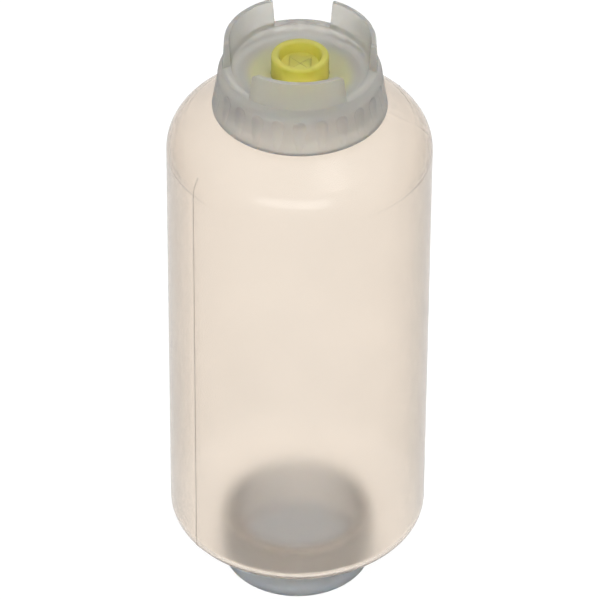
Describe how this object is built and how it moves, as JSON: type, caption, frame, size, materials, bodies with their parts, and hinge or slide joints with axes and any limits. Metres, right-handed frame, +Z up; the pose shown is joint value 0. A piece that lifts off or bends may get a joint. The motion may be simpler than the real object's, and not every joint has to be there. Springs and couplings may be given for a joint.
{
  "type": "condiment squeeze bottle",
  "caption": "Double-ended translucent squeeze bottle standing on its screw-on refill lid, with a crowned screw cap and a silicone valve at the top.",
  "frame": {"origin": "middle of the flat face of the refill lid that the bottle stands on", "axes": "+Z up the bottle's axis to the dispensing cap, -Y towards the viewer of the picture"},
  "size_m": [0.08, 0.08, 0.2004],
  "materials": {
    "body_plastic": "translucent soft polyethylene, satin",
    "cap_plastic": "translucent polypropylene, satin",
    "valve_silicone": "yellow silicone, satin",
    "retainer_plastic": "natural polypropylene",
    "refill_plastic": "translucent polypropylene, satin",
    "seal_rubber": "soft white elastomer"
  },
  "bodies": {
    "refill_cap": {"refill_cap": "refill_plastic"},
    "refill_seal": {"refill_seal": "seal_rubber"},
    "bottle": {"bottle_body": "body_plastic"},
    "dispensing_seal": {"dispensing_seal": "seal_rubber"},
    "dispensing_cap": {"dispensing_cap": "cap_plastic", "dispensing_valve": "valve_silicone", "valve_retainer": "retainer_plastic"},
    "valve_flap_1": {"valve_flap_1": "valve_silicone"},
    "valve_flap_2": {"valve_flap_2": "valve_silicone"},
    "valve_flap_3": {"valve_flap_3": "valve_silicone"},
    "valve_flap_4": {"valve_flap_4": "valve_silicone"}
  },
  "joints": [
    {"name": "dispensing_cap_lift", "type": "slide", "parent": "bottle", "child": "dispensing_seal", "axis": [0, 0, 1], "range_m": [0, 0.01]},
    {"name": "dispensing_cap_turn", "type": "hinge", "parent": "dispensing_seal", "child": "dispensing_cap", "pos_m": [0, 0, 0.1769], "axis": [0, 0, 1], "range_deg": [0, 900]},
    {"name": "bottle_turn", "type": "hinge", "parent": "refill_cap", "child": "refill_seal", "pos_m": [0, 0, 0], "axis": [0, 0, 1], "range_deg": [0, 1440]},
    {"name": "bottle_lift", "type": "slide", "parent": "refill_seal", "child": "bottle", "axis": [0, 0, 1], "range_m": [0, 0.016]},
    {"name": "valve_flap_1_swing", "type": "hinge", "parent": "dispensing_cap", "child": "valve_flap_1", "pos_m": [-0.0001, -0.00322, 0.19188], "axis": [0.9995, -0.0314, 0], "range_deg": [0, 40], "stiffness_Nm_per_rad": 0.0001},
    {"name": "valve_flap_2_swing", "type": "hinge", "parent": "dispensing_cap", "child": "valve_flap_2", "pos_m": [0.00322, -0.0001, 0.19188], "axis": [0.0314, 0.9995, 0], "range_deg": [0, 40], "stiffness_Nm_per_rad": 0.0001},
    {"name": "valve_flap_3_swing", "type": "hinge", "parent": "dispensing_cap", "child": "valve_flap_3", "pos_m": [0.0001, 0.00322, 0.19188], "axis": [-0.9995, 0.0314, 0], "range_deg": [0, 40], "stiffness_Nm_per_rad": 0.0001},
    {"name": "valve_flap_4_swing", "type": "hinge", "parent": "dispensing_cap", "child": "valve_flap_4", "pos_m": [-0.00322, 0.0001, 0.19188], "axis": [-0.0314, -0.9995, 0], "range_deg": [0, 40], "stiffness_Nm_per_rad": 0.0001}
  ],
  "couplings": [
    {"joint": "dispensing_cap_turn", "follows": "dispensing_cap_lift", "rad_per_m": 1570.8},
    {"joint": "bottle_turn", "follows": "bottle_lift", "rad_per_m": 1570.8},
    {"joint": "valve_flap_2_swing", "follows": "valve_flap_1_swing", "ratio": 1},
    {"joint": "valve_flap_3_swing", "follows": "valve_flap_1_swing", "ratio": 1},
    {"joint": "valve_flap_4_swing", "follows": "valve_flap_1_swing", "ratio": 1}
  ]
}
